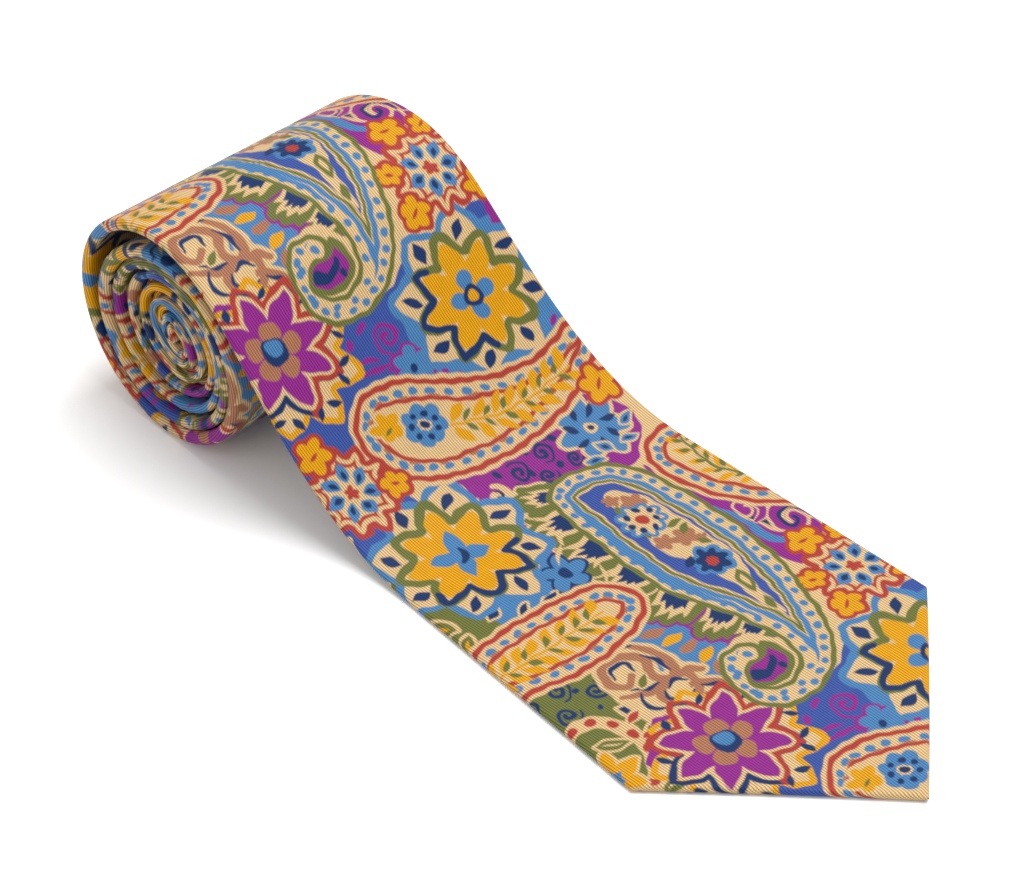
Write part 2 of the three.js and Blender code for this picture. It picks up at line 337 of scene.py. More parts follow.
def leaf(p, q, length, width, degrees, ink, blunt=0.0, rim=None, rim_width=0.6):
    """A pointed leaf, or with blunt = 1 a drop with one round end, centred on (p, q)."""
    t = np.linspace(0, 1, 9)
    belly = np.sin(math.pi * t) ** (1 - 0.25 * blunt) * (1 + blunt * 0.6 * (0.5 - t))
    x = (t - 0.5) * length
    x = np.concatenate([x, x[-2:0:-1]])
    y = np.concatenate([belly, -belly[-2:0:-1]]) * width / 2
    layers = [(0, ink)] if rim is None else [(-rim_width, rim), (0, ink)]
    shape(turned(p, q, x, y, degrees), *layers)


def leaves(length, width, ink, places, **rim):
    for p, q, degrees in places:
        leaf(p, q, length, width, degrees, ink, **rim)


def star_outline(p, q, petals, tip, notch, degrees=0.0, fullness=1.15):
    """A ring of pointed petals."""
    across = np.array([-0.8, -0.6, -0.4, -0.2, 0, 0.2, 0.4, 0.6, 0.8, 1])
    points = []
    for petal in range(petals):
        reach = tip * (1 + 0.045 * math.sin(2.4 * petal + 1))
        middle = math.radians(degrees) + 2 * math.pi * petal / petals
        angle = middle + across * math.pi / petals
        radius = reach - (reach - notch) * np.abs(across) ** fullness
        points.append(np.stack([p + radius * np.cos(angle), q + radius * np.sin(angle)], axis=1))
    return np.vstack(points)


def star(p, q, petals, tip, notch, *layers, degrees=0.0, fullness=1.15):
    shape(star_outline(p, q, petals, tip, notch, degrees, fullness), *layers)


def ring_of(count, p, q, radius, draw, degrees=0.0):
    """Calls draw(p, q, degrees outwards) at places round a centre."""
    for i in range(count):
        angle = math.radians(degrees) + 2 * math.pi * i / count
        draw(p + radius * math.cos(angle), q + radius * math.sin(angle), math.degrees(angle))


def dots_along(line, depth, spacing, radius, ink, start=0.0, long=1.15, closed=True):
    """Oval dots at a depth inside an anticlockwise line, or outside a clockwise one."""
    if closed:
        line = np.vstack([line, line[:1]])
    step = np.diff(line, axis=0)
    length = np.concatenate([[0], np.cumsum(np.hypot(*step.T))])
    for at in np.arange(start * length[-1] + spacing / 2, length[-1], spacing):
        i = min(np.searchsorted(length, at), len(step)) - 1
        t = (at - length[i]) / (length[i + 1] - length[i])
        direction = step[i] / np.hypot(*step[i])
        place = line[i] + step[i] * t + depth * np.array([-direction[1], direction[0]])
        dot(*place, radius, ink, long, math.degrees(math.atan2(direction[1], direction[0])))


def curl(p, q, radius, turns, degrees, ink, width, hand=1):
    """A spiral brush stroke that winds in to (p, q)."""
    t = np.linspace(0, 1, 4 + round(8 * turns))
    angle = math.radians(degrees) + hand * 2 * math.pi * turns * t
    r = radius * (1 - 0.85 * t)
    points = np.stack([p + r * np.cos(angle), q + r * np.sin(angle)], axis=1)
    stroke(points, ink, 0.5 * width, width, width, 1.2 * width)


def zigzag(p, q, petals, tip, notch, first, last, degrees, ink, width):
    """Part of a star's outline, from petal first to petal last."""
    outline = star_outline(p, q, petals, tip, notch, degrees)
    per_petal = len(outline) // petals
    pick = np.arange(round(first * per_petal), round(last * per_petal) + 1) % len(outline)
    line = outline[pick]
    window = Window(line, width)
    distance = np.full(window.p.shape, 1e3)
    for a, b in zip(line[:-1], line[1:]):
        distance = np.minimum(distance, np.sqrt(nearest(window, a, b)[0]) - width / 2)
    window.lay(distance, ink)


def draw_grounds():
    """The colours that lie behind the motifs, over the cream of the cloth."""
    for ink, points in (
        ("blue", [(5, 58), (44, 60), (48, 30), (42, 14), (43, -6), (36, -12), (24, -16), (10, -14), (4, 0),
                  (2, 30)]),
        ("sky", [(7, 58), (22, 60), (40, 56), (46, 40), (43, 22), (38, 15), (26, 12), (15, 16), (10, 26),
                 (8, 40)]),
        ("sky", [(57, 8), (64, 11), (74, 9), (86, 9), (88, 0), (85, -12), (80, -22), (70, -14), (58, -8),
                 (58, 0)]),
        ("magenta", [(122, 36), (134, 48), (146, 40), (150, 24), (152, 2), (148, -10), (138, -4), (128, 6),
                     (129, 24)]),
        ("olive", [(60, -24), (70, -18), (82, -14), (90, -30), (90, -52), (66, -54), (50, -46), (48, -32)]),
        ("magenta", [(70, 36), (78, 52), (88, 56), (104, 40), (120, 36), (100, 33)]),
        ("magenta", [(96, -2), (104, 6), (126, 6), (122, -6), (110, -14), (104, -26), (100, -14)]),
        ("sky", [(104, -14), (112, -4), (120, -2), (116, -14), (110, -28), (106, -36)]),
        ("olive", [(100, -30), (112, -28), (140, -34), (150, -44), (140, -56), (104, -58)]),
        ("blue", [(-12, -14), (0, -14), (14, -14), (24, -16), (30, -26), (24, -36), (0, -40), (-14, -30)]),
        ("magenta", [(40, 50), (56, 54), (60, 64), (46, 68), (34, 62)]),
    ):
        patch(points, (0, ink))


def draw_blue_ground_details():
    curl(33, 8, 4.2, 1.5, 200, "magenta", 1.3)
    for p, q, reach, degrees in ((27.5, 1, 8, 98), (30.5, 0, 7, 104), (26, 5, 5, 80), (29, -4, 5, 110)):
        leaf(p, q, reach, 1.7, degrees, "magenta")
    star(23.5, 9, 6, 5.4, 3.4, (-0.8, "magenta"), (0, "sky"), degrees=20, fullness=2)
    dot(23.5, 9, 1.1, "navy")
    for p, q, turn in ((14, 49, 60), (10.5, 38, 80), (9.5, 32, 70), (15, 18, 40), (18, 15, 45),
                       (36, -2, 20), (38, 3, 70), (12, 25, 75)):
        dot(p, q, 0.85, "magenta", 1.9, turn)


def draw_sky_ground_drops():
    for p, q, length, turn, ink in (
        (61.6, -2.6, 5.4, 50, "tan"), (66, -1.8, 6.6, 65, "yellow"), (70.6, -2.8, 6.8, 80, "tan"),
        (75, -3.8, 6.4, 92, "yellow"), (79.4, -5.4, 7.2, 110, "tan"), (84, -12, 4, 100, "tan"),
    ):
        leaf(p, q, length, 3.0, turn, ink, blunt=0.7)


def draw_scrolls():
    """Tan acanthus scrolls with navy strokes, between the big motifs."""
    scrolls = (
        ([(67, -11), (64, -9.6), (60, -11), (58.6, -15), (61, -18.6), (65, -18.6), (66.6, -15)], 3.2),
        ([(62, -12), (60.4, -8.4), (57, -6.4), (54.2, -8.4), (55, -11.6), (57.6, -11)], 2.8),
        ([(66, -13), (70, -15.6), (75, -13.4), (79.6, -16), (80, -21.6), (75.6, -24.4), (72, -22),
          (73.4, -19)], 3.4),
        ([(62, -18), (57.4, -17.4), (53.6, -20.4), (54.2, -25), (58, -26.2), (59.6, -23)], 3.0),
        ([(66, -13), (69.4, -9.8), (74.6, -9.6), (80, -12.4)], 2.8),
        ([(66, -12), (66, -8.8), (63.8, -6)], 3.0),
        ([(67, -15), (67, -20), (70, -25.5)], 2.6),
    )
    patch([(53, -14), (58, -8), (66, -7), (76, -10), (82, -16), (80, -25), (70, -27), (58, -27), (52, -20)],
          (0, "cream"))
    patch([(68, -12), (73, -11.6), (78.6, -14), (75, -16), (69, -17)], (0, "sky"))
    for points, width in scrolls:
        stroke(points, "cream", width * 0.8 + 1.6, width + 1.7, width + 1.7, width * 0.6 + 1.6)
    for points, width in scrolls:
        stroke(points, "tan", width * 0.6, width * 0.8, width * 0.8, width * 0.45)
    dot(62.6, -14.6, 1.9, "cream", 1.3, 68.75)
    for points in (
        [(60.6, -12.4), (59.8, -15.4), (62, -18), (65, -17.2)], [(63.6, -11.2), (65.6, -13), (65.2, -16)],
        [(55.6, -8), (57.8, -7.4), (60, -10)], [(74, -17.4), (77.4, -17), (78, -20.6), (75.4, -22.4)],
        [(55.4, -19.2), (54.6, -22.6), (57.2, -25)], [(68.6, -11.4), (72.6, -11), (76.6, -12.8)],
        [(67.6, -16), (68.4, -19.6), (70.6, -22.6)], [(52, -11), (53.6, -14), (57, -15.2)],
        [(80, -12), (82, -15), (82, -19)], [(61, -21), (64, -23.6), (68, -22)],
    ):
        stroke(points, "navy", 0.5, 1.5, 0.5)
    dot(57, -22, 1.2, "red", 1.3)
    leaf(70.6, -18.6, 4.4, 2.0, 60, "olive", rim="cream")
    for p, q, turn in ((52, -27.5, 40), (58, -29.6, 100), (64.5, -28.5, 70), (51, -15, 60)):
        leaf(p, q, 4.6, 2.0, turn, "red" if q < -20 else "olive", rim="cream")


def draw_olive_ground_details():
    for p, q, radius, degrees, hand in (
        (76, -28, 3.2, 30, 1), (82, -34, 3.4, 200, -1), (75, -38, 3.2, 100, 1), (83, -43, 3, 320, 1),
        (70, -47, 3, 60, -1), (80, -22, 2.6, 250, 1),
    ):
        curl(p, q, radius, 1.6, degrees, "navy", 1.0, hand)
    for p, q in ((72, -31), (79, -31), (72, -42), (86, -27), (79, -47), (84, -50)):
        dot(p, q, 0.8, "navy")
    arc = [(46, -47), (48, -39), (56, -33), (66, -33), (71, -39), (70, -47)]
    stroke(arc, "cream", 3.6, 4.2, 3.6)
    dots_along(spline(arc, closed=False), 0, 5.2, 1.2, "red", long=1.3, closed=False)
    star(55, -46, 7, 8.5, 4.6, (-0.8, "cream"), (0, "yellow"), (2.0, "sky"), degrees=90)
    dot(55, -46, 1.5, "navy", 1.4)
    places = ((40, -32, 130), (47, -31, 60), (57, -29, 20), (66, -27, 150), (40, -40, 70), (64, -49, 100),
              (72, -52, 40))
    leaves(7, 2.8, "navy", places, rim="cream", rim_width=0.9)
    for p, q, turn in ((44, -37, 95), (51, -35, 60), (62, -38, 120), (58, -53, 90), (36, -45, 60)):
        leaf(p, q, 8, 3.4, turn, "olive", rim="cream", rim_width=0.8)
        leaf(p, q, 5, 0.7, turn, "cream")


def draw_magenta_ground_details():
    for p, q, radius, degrees, hand in (
        (133, 17, 2.6, 90, 1), (139, 21, 3, 210, -1), (138, 12, 3.2, 340, 1), (144, 14, 2.4, 60, -1),
        (133, 26, 2.4, 120, 1), (110, -2, 3, 30, 1), (143, 25, 2, 180, 1),
    ):
        curl(p, q, radius, 1.5, degrees, "navy", 1.0, hand)
    for p, q in ((135, 9), (142, 17.5), (134, 21.5), (140.5, 26), (136, 14.5), (145.5, 20), (131.5, 12),
                 (146, 9), (141, 7.5)):
        dot(p, q, 0.95, "navy", 1.3)
    for p, q, radius, degrees in ((136, 3, 3.4, 20), (142.5, -4, 4, 150), (147.5, -9, 2.6, 60)):
        curl(p, q, radius, 0.95, degrees, "cream", 2.4)
        curl(p, q, radius - 1.6, 0.6, degrees, "navy", 0.8)
    star(137, 36, 7, 10, 5.4, (-1.0, "cream"), (0, "sky"), degrees=15, fullness=1.5)
    ring_of(7, 137, 36, 5.4, lambda p, q, turn: leaf(p, q, 4.6, 1.9, turn + 20, "navy"), degrees=40)
    dot(137, 36, 1.7, "cream")
    dot(137, 36, 0.8, "navy")
    for p, q, turn in ((129, 29, 120), (131, 34, 150), (146, 32, 60), (134, 45, 80), (129, 41, 100)):
        leaf(p, q, 5, 2.4, turn, "sky", rim="cream")
        leaf(p, q, 2.6, 0.9, turn, "navy")


def draw_crescents():
    """Magenta, sky and cream crescents above the green paisley."""
    for points, ink, width in (
        ([(71, 49), (76, 51), (81, 48), (81, 43), (77, 41)], "magenta", 3.0),
        ([(75, 50), (79, 50), (82, 46), (80, 42)], "cream", 1.2),
        ([(84, 51), (82, 45), (86, 41), (92, 40)], "navy", 2.0),
        ([(88, 50), (86, 45), (90, 42), (96, 39)], "magenta", 2.6),
        ([(76, 45), (80, 38), (88, 38), (98, 37)], "sky", 2.8),
        ([(79, 46), (81, 41), (87, 40), (92, 38.5)], "cream", 0.9),
    ):
        stroke(points, ink, 0.5, width, 0.6)
    for radius, ink, width in ((6.6, "cream", 4.4), (6.6, "magenta", 2.9), (5.0, "navy", 1.0)):
        curl(82, 46.5, radius, 1.1, 130, ink, width, -1)
    for radius, ink, width in ((4.6, "cream", 3.4), (4.6, "magenta", 2.2)):
        curl(92, 41.5, radius, 0.9, 200, ink, width, -1)


def crown(p, q, width, depth, degrees, *layers):
    """A flat-topped leaf whose ragged points hang down."""
    across = np.array([-0.5, 0.5, 0.42, 0.24, 0.1, -0.06, -0.2, -0.34, -0.47]) * width
    down = -np.array([0, 0, 0.72, 0.5, 1.0, 0.6, 0.86, 0.5, 0.62]) * depth
    shape(turned(p, q, across, down, degrees), *layers)


def draw_twig_ground():
    """Ragged olive leaves with cream and navy hearts below the green paisley."""
    crowns = [(64.5, 9.2, 6.4, 4.0, -16), (72.6, 7.4, 7.6, 5.0, -14), (83.4, 5.0, 9.4, 6.4, -10),
              (96, 3.8, 9.4, 6.0, 2), (108, 4.2, 10.0, 6.4, 8), (119.5, 5.8, 9.4, 6.0, 14),
              (128, 9.0, 5.6, 4.6, 30)]
    for p, q, width, depth, degrees in crowns:
        edge = "magenta" if p < 90 else "cream"
        crown(p, q + 2.2, width + 2.6, depth + 3.0, degrees, (-2.0, edge), (-1.3, "olive"))
    patch([(58, 13), (66, 11.6), (76, 9.4), (88, 6.8), (104, 6.4), (120, 8), (131, 11), (130, 16),
           (110, 12), (90, 12), (72, 16), (62, 16)], (0, "olive"))
    for p, q, width, depth, degrees in crowns:
        crown(p, q + 3.8, width, depth + 3.6, degrees, (0, "cream"))
        crown(p, q + 3.4, width * 0.66, depth * 0.9, degrees, (-0.1, "navy"))


def draw_purple_flower():
    p, q = 44.5, -19.5
    star(p + 3, q - 4, 6, 14, 10, (0, "magenta"), degrees=-70)
    star(p - 2, q + 0.5, 9, 20.5, 15.5, (0, "yellow"), (1.6, "cream"), degrees=170)
    zigzag(p, q, 8, 17.4, 11.4, 1.0, 6.0, 45, "navy", 1.4)
    zigzag(p, q, 8, 16.8, 10.4, -2.0, 3.4, 45, "red", 2.2)
    for hand in (-1, 1):
        ring_of(9, p - 2, q + 0.5, 16.2, lambda a, b, t: leaf(a, b, 4.2, 1.9, t + hand * 40, "navy"),
                degrees=170 + hand * 8)
    star(p, q, 8, 15.0, 8.0, (-0.9, "cream"), (0, "magenta"), degrees=45)
    ring_of(5, p, q, 4.9, lambda a, b, t: dot(a, b, 2.75, "tan"), degrees=18)
    dot(p, q, 3.3, "navy", 1.1)
    dot(p + 0.8, q + 0.2, 2.2, "sky", 1.1)


def draw_yellow_flower(p, q, degrees, zigzag_from, four_points):
    star(p, q, 8, 21, 15.2, (-1.9, "sky"), (0, "cream"), degrees=degrees + 22.5, fullness=1.1)
    star(p, q, 8, 17.4, 12.2, (0, "olive"), (2.2, "cream"), degrees=degrees, fullness=1.4)
    ring_of(8, p, q, 16.6, lambda a, b, t: leaf(a, b, 5.6, 3.0, t + 24, "navy"), degrees=degrees + 22.5)
    zigzag(p, q, 8, 15.9, 10.4, zigzag_from, zigzag_from + 3, degrees, "navy", 1.8)
    star(p, q, 8, 14.2, 8.2, (0, "yellow"), degrees=degrees, fullness=1.5)
    if four_points:
        star(p, q, 4, 7.8, 2.8, (0, "sky"), degrees=degrees + 8, fullness=0.9)
        stroke([(p - 2.2, q - 1.6), (p - 0.4, q + 0.8), (p + 2.3, q + 1)], "navy", 0.8, 2.0, 0.7)
    else:
        ring_of(4, p, q, 4.1, lambda a, b, t: dot(a, b, 2.25, "sky", 1.15, t), degrees=degrees + 2)
        dot(p, q, 2.9, "navy")
        dot(p, q, 1.6, "yellow")


def draw_carnation(p, q, degrees=0.0):
    """A ragged red flower with a ring of blue petals."""
    star(p, q, 11, 12.5, 9.6, (0, "red"), (1.5, "cream"), (2.6, "red"), (3.4, "cream"),
         degrees=degrees, fullness=1.8)
    ring_of(7, p, q, 5.2, lambda a, b, t: leaf(a, b, 5.0, 3.4, t, "sky", blunt=0.5), degrees=degrees)
    ring_of(7, p, q, 4.6, lambda a, b, t: leaf(a, b, 2.6, 1.5, t, "navy"), degrees=degrees)
    dot(p, q, 2.5, "cream")
    star(p, q, 5, 2.1, 1.3, (0, "red"), degrees=degrees + 10, fullness=1.6)


def draw_bud(p, q, degrees, size):
    star(p, q, 5, 4.8 * size, 2.9 * size, (-1.1, "red"), (0, "yellow"), degrees=degrees, fullness=1.7)
    leaf(p, q, 3.4 * size, 1.0, degrees + 40, "red")


def paisley_bands(points):
    """The red, cream and red bands of the red-bordered paisleys, with sky dots."""
    outline = spline(points)
    shape(outline, (-1.1, "cream"), (0, "red"), (1.5, "cream"), (4.6, "red"), (5.8, "cream"))
    dots_along(outline, 3.4, 4.6, 0.95, "sky", long=1.35)
    dots_along(outline, 4.4, 9.2, 0.4, "tan", start=0.02, long=3.2)


def sprig(points, leaves, size, ink, stem=None):
    """Pairs of leaves along a line, on a stem of another ink or none."""
    line = spline(points, closed=False)
    if stem:
        stroke(points, stem, 0.7, 0.9, 0.5)
    reach = size * 0.62
    for pick in np.linspace(0.1, 0.92, leaves):
        at = pick * (len(line) - 1)
        i = min(int(at), len(line) - 2)
        place = line[i] + (line[i + 1] - line[i]) * (at - i)
        heading = math.degrees(math.atan2(*(line[i + 1] - line[i])[::-1]))
        for side in (-1, 1):
            away = heading + side * 48
            towards = np.array([math.cos(math.radians(away)), math.sin(math.radians(away))])
            leaf(*(place + reach * towards), size, size * 0.42, away, ink)


def draw_left_paisley():
    paisley_bands([(13, -15.5), (21, -13), (25, -5), (22, 6), (15.5, 17), (11, 28), (9.5, 40), (12, 52),
                   (9, 60), (2, 54), (-4, 42), (-7.5, 24), (-6.5, 8), (-2, -6), (5, -13)])
    patch([(12.5, -8.5), (17.5, -5), (16, 3), (9.5, 14), (4.5, 26), (3, 38), (0, 32), (-1, 20), (0, 6),
           (5, -4)], (0, "cream"))
    sprig([(9, 3), (3.2, 18), (1.6, 30), (2.6, 44)], 8, 6.6, "yellow", stem="yellow")
    sprig([(7, 8), (3.4, 18), (1.8, 30), (2.8, 42)], 6, 3.6, "olive")
    dot(10.5, 2, 6.4, "cream")
    ring_of(7, 10.5, 2, 3.7, lambda a, b, t: dot(a, b, 2.2, "sky"), degrees=10)
    ring_of(7, 10.5, 2, 3.3, lambda a, b, t: dot(a, b, 0.85, "navy"), degrees=36)
    dot(10.5, 2, 1.1, "navy")
    star(15, -6.5, 5, 4.2, 2.4, (-0.8, "cream"), (0, "yellow"), degrees=70, fullness=1.6)
    leaf(14, -7, 3, 0.9, 60, "olive")


def draw_upright_paisley():
    paisley_bands([(92, 2.5), (85.5, -1), (82.5, -9), (81.5, -22), (84, -34), (88, -46), (93, -54),
                   (99, -54), (103.5, -44), (105, -31), (103.5, -16), (100, -3)])
    sprig([(95.4, -52), (94, -38), (93, -24), (92.4, -8)], 9, 6.4, "yellow", stem="yellow")
    sprig([(95.6, -49), (94, -34), (93, -20), (92.6, -11)], 7, 3.9, "olive")


def draw_top_paisley():
    paisley_bands([(80, 57), (88, 48), (97, 41.5), (109, 37.5), (121, 38), (126.5, 45), (126, 54),
                   (119, 63), (104, 66), (88, 64)])
    sprig([(96, 54), (104, 49), (112, 48), (121, 50)], 6, 4.8, "yellow", stem="olive")
    sprig([(99, 53), (106, 49), (114, 48), (120, 50)], 5, 3.2, "olive")


def draw_green_paisley():
    outline = spline([
        (40.2, 2), (40.5, 10), (44.5, 18), (52, 24.5), (62, 29.5), (75, 34), (90, 36.6), (107, 36.6),
        (119, 35), (126.5, 31), (130.5, 23), (130.5, 14), (125.5, 10), (113, 8.2), (97, 6.6), (85, 7),
        (77, 9.5), (68, 12), (58, 13.2), (50.5, 11.5), (47.5, 7), (47.8, 1.5), (51, -1), (55, 0),
        (56, 3), (56.2, 6), (58.7, 8.4), (61.8, 7.6), (63.6, 4), (63, -1), (59, -5), (53, -6.4),
        (46, -5.6), (42, -2.5),
    ])
    patch([(49, 12), (58, 12.5), (64, 9), (64, 0), (58, -4), (50, -3), (46, 2), (46.5, 8)], (0, "cream"))
    patch([(49.6, 10), (54, 11.6), (60, 10), (57.6, 6), (59, 3), (57.6, -1.6), (52, -2.4), (48.6, 1),
           (48, 6)], (0, "olive"), (1.7, "magenta"))
    shape(outline, (0, "olive"), (1.3, "cream"), (4.1, "sky"), (5.6, "cream"), (5.9, "olive"),
          (6.8, "cream"), (7.4, "blue"))
    dots_along(outline, -2.7, 4.3, 0.95, "sky")
    stroke([(66, 15.6), (76, 13.2), (85, 10.6), (97, 10.2), (112, 11.8), (122, 13.6)], "sky", 0.8, 2.4, 0.8)
    patch([(62, 21), (72, 23.2), (84, 28), (100, 28.6), (112, 28), (119.5, 24), (118, 20), (110, 20.4),
           (104, 18), (97, 16.6), (90, 18.4), (84, 19.2), (76, 20), (68, 19.6)], (0, "cream"))
    for p, q, size in ((96, 24, 3.6), (98, 19.5, 3.0), (113, 24.5, 3.4), (117, 21, 2.4), (93, 26.5, 2.0)):
        star(p, q, 5, size, size * 0.6, (0, "tan"), degrees=size * 40, fullness=1.6)
    leaf(76, 22.8, 9, 4, 12, "olive")
    leaf(76, 22.8, 5, 1.6, 12, "cream")
    leaf(67, 21, 6, 2, 14, "olive")
    leaves(4.4, 2.0, "olive", (
        (92, 26.5, 150), (98, 26, 60), (101, 26, 100), (113, 20, 30), (103, 18.4, 20)))
    star(86, 22.5, 7, 4.9, 3.6, (-0.6, "sky"), (0.5, "navy"), (2.2, "red"), fullness=2)
    leaf(89.5, 18.2, 4.6, 2.2, 55, "navy", blunt=0.6)
    star(107, 21.5, 9, 6.4, 4.9, (0, "sky"), (1.0, "cream"), fullness=2)
    ring_of(7, 107, 21.5, 3.6, lambda a, b, t: dot(a, b, 0.8, "navy", 1.3), degrees=20)
    dot(107, 21.5, 1.6, "red")
    stroke([(53.4, 1.2), (52.2, 3.6), (53.2, 6.2), (55.4, 7.6)], "navy", 3.6, 2.0, 1.8, 0.9)
    dot(51.4, 7.4, 0.9, "navy", 1.5)
    dot(59.4, 4.6, 2.4, "cream")
    dot(59.4, 4.6, 1.2, "sky")


def draw_small_flower():
    star(107.5, -4.5, 5, 6.2, 3.4, (-0.7, "navy"), (0, "sky"), degrees=20, fullness=1.6)
    dot(107.5, -4.5, 1.7, "navy", 1.3)
    for p, q, length, turn in ((101, 1.5, 7, 30), (113, -1, 8, 50), (117, 3, 6, 20), (112, -10, 9, 60)):
        leaf(p, q, length, 1.2, turn, "cream")
    places = ((111.5, -14.5, 60), (106, -20, 70), (110, -26, 60), (104.5, -13, 80))
    leaves(4.6, 2.1, "navy", places, rim="cream", rim_width=0.7)


def draw_lower_right_leaves():
    for p, q, turn in ((106, -38, 40), (116, -38, 150), (125, -42, 20), (136, -40, 110), (146, -38, 60),
                       (110, -47, 80), (122, -51, 30), (134, -50, 140), (147, -50, 40)):
        leaf(p, q, 9, 4, turn, "olive", rim="cream", rim_width=1.0)
        leaf(p, q, 5.5, 1.2, turn, "yellow")
    for p, q, radius in ((129, -46, 3), (142, -45, 2.6), (117, -44, 2.4)):
        star(p, q, 5, radius, radius * 0.6, (-0.9, "cream"), (0, "red"), degrees=radius * 30)


def draw_print():
    draw_grounds()
    draw_blue_ground_details()
    draw_magenta_ground_details()
    draw_olive_ground_details()
    draw_lower_right_leaves()
    draw_sky_ground_drops()
    draw_crescents()
    draw_twig_ground()
    draw_small_flower()
    draw_scrolls()
    draw_yellow_flower(30, 34, 0, 4.6, four_points=False)
    draw_yellow_flower(129, -17, 12, 2.6, four_points=True)
    draw_purple_flower()
    draw_top_paisley()
    draw_left_paisley()
    draw_upright_paisley()
    draw_carnation(61, 44)
    draw_carnation(7, -25, 12)
    for bud in (
        (54, 33, 20, 0.9), (75, 42.5, 60, 0.95), (65, 33.5, 100, 0.7), (19, -27, 40, 1),
        (3, -14.5, 80, 0.8), (145, 47, 10, 1.1), (52, 53, 60, 0.9), (72, 51, 30, 0.7),
    ):
        draw_bud(*bud)
    draw_green_paisley()


def print_place(s, v):
    """p and q at s from the tip and v across the opened-out silk."""
    p = s * math.cos(PRINT_TURN) - v * math.sin(PRINT_TURN)
    return p, s * math.sin(PRINT_TURN) + v * math.cos(PRINT_TURN)


def print_at(p, q):
    """The print's linear colour."""
    column, row = p / CELL, (q - Q_START) / CELL
    c0, r0 = np.floor(column).astype(int), np.floor(row).astype(int)
    fc, fr = (column - c0)[..., None], (row - r0)[..., None]
    c0, r0 = c0 % COLUMNS, r0 % ROWS
    c1, r1 = (c0 + 1) % COLUMNS, (r0 + 1) % ROWS
    low = canvas[r0, c0] * (1 - fc) + canvas[r0, c1] * fc
    high = canvas[r1, c0] * (1 - fc) + canvas[r1, c1] * fc
    return low * (1 - fr) + high * fr


# ---------- Cloth laid on the path ----------
HINGE_REACH = 20  # a piece that starts more than this past the touch-down line hangs on the roll


def link_new(name, data):
    """A new object of the scene that shows this data."""
    thing = bpy.data.objects.new(name, data)
    bpy.context.scene.collection.objects.link(thing)
    return thing


def new_piece(name, mesh, slot, start):
    """A piece that starts here along the tie, in the cloth of its slot. One that starts
    more than HINGE_REACH past the touch-down line hangs on the roll's body."""
    mesh.shade_smooth()
    mesh.materials.append(CLOTHS[slot])
    piece = link_new(name, mesh)
    if start < TOUCH_DOWN + HINGE_REACH:
        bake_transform(piece)
    else:
        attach(piece, "roll")
    return piece


def grid_piece(name, points, cloth_mm, slot, start, colours=None, wrap=False):
    """A mesh piece from a grid of points, in millimetres. cloth_mm is each point's
    place on the flat cloth, which its weave follows."""
    rows, columns = points.shape[:2]
    index = np.arange(rows * columns).reshape(rows, columns)
    if wrap:
        index = np.hstack([index, index[:, :1]])
    faces = np.stack([index[:-1, :-1], index[:-1, 1:], index[1:, 1:], index[1:, :-1]], axis=-1)
    faces = faces.reshape(-1, 4)
    mesh = bpy.data.meshes.new(name)
    mesh.vertices.add(rows * columns)
    mesh.vertices.foreach_set("co", (points * MM).astype(np.float32).ravel())
    mesh.loops.add(faces.size)
    mesh.loops.foreach_set("vertex_index", faces.astype(np.int32).ravel())
    mesh.polygons.add(len(faces))
    mesh.polygons.foreach_set("loop_start", np.arange(0, faces.size, 4, dtype=np.int32))
    mesh.update(calc_edges=True)
    layer = mesh.uv_layers.new(name="cloth_mm")
    layer.data.foreach_set("uv", cloth_mm.reshape(-1, 2)[faces.ravel()].astype(np.float32).ravel())
    if colours is not None:
        attribute = mesh.color_attributes.new("print", "FLOAT_COLOR", "POINT")
        rgba = np.concatenate([colours.reshape(-1, 3), np.ones((rows * columns, 1))], axis=1)
        attribute.data.foreach_set("color", rgba.astype(np.float32).ravel())
    return new_piece(name, mesh, slot, start)


def place_on_path(s, across, up):
    """Points at s along the tie, across it, and up from the middle of its thickness."""
    x, side, z, face_x, face_z = PATH.at(s)
    return np.stack([
        x[:, None] + face_x[:, None] * up, side[:, None] + across, z[:, None] + face_z[:, None] * up,
    ], axis=-1)


SLIT = 0.45
BLADE_OPENING = 0.36  # how fast the slit opens towards the tip of the blade
TAIL_OPENING = 0.3


def flap_gap(s):
    """Half the gap between the back flaps: a slit, opening into a V at each point."""
    towards_tip = (BLADE_TACK - s) * BLADE_OPENING
    towards_end = np.maximum(0, s - TAIL_TACK) * TAIL_OPENING
    opening = np.where(s < BLADE_TACK, towards_tip, towards_end)
    return np.maximum(SLIT, np.minimum(SLIT + opening, half_width(s) - HEM))


EDGE_BULGE = 0.94  # how much rounder a loose edge is inside the roll, all of it inwards
BULGE_START = 212  # along the tie
BULGE_EASING = 50
LEAST_OVERHANG = 1
OVERHANG_EASING = 8
EDGE_STEPS = 12
EDGE_FULLER = 0.04  # a folded edge is this much thicker than the cloth beside it
EDGE_PUFF = 4.5  # and that fades over this length
THINNING = 2.6  # the cloth thins where half its width is under this
MOST_ROUNDED = 0.6  # of half the width
MOST_OPENED = 0.97  # of the flat part of half the back
BACK_CROWDING = 1.3  # over 1, the columns of the back crowd towards the edge
TURN_IN = [(-0.12, 0.1), (-0.04, 0.24), (1.2, 0.27), (3.0, 0.27)]  # the flap's raw edge
TURN_IN_STEP = 0.8


def edge_bulge(s):
    """Where the narrow half stops short inside the roll, the edges of the wide half puff
    inwards and fill the room."""
    overhang = np.interp(s, PATH.s, PATH.overhang)
    eased_in = smooth_step((s - BULGE_START) / BULGE_EASING)
    uneven = 0.7 + 0.2 * np.sin(s / 17 + 0.6) + 0.1 * np.sin(s / 7.3)
    return EDGE_BULGE * uneven * smooth_step((overhang - LEAST_OVERHANG) / OVERHANG_EASING) * eased_in


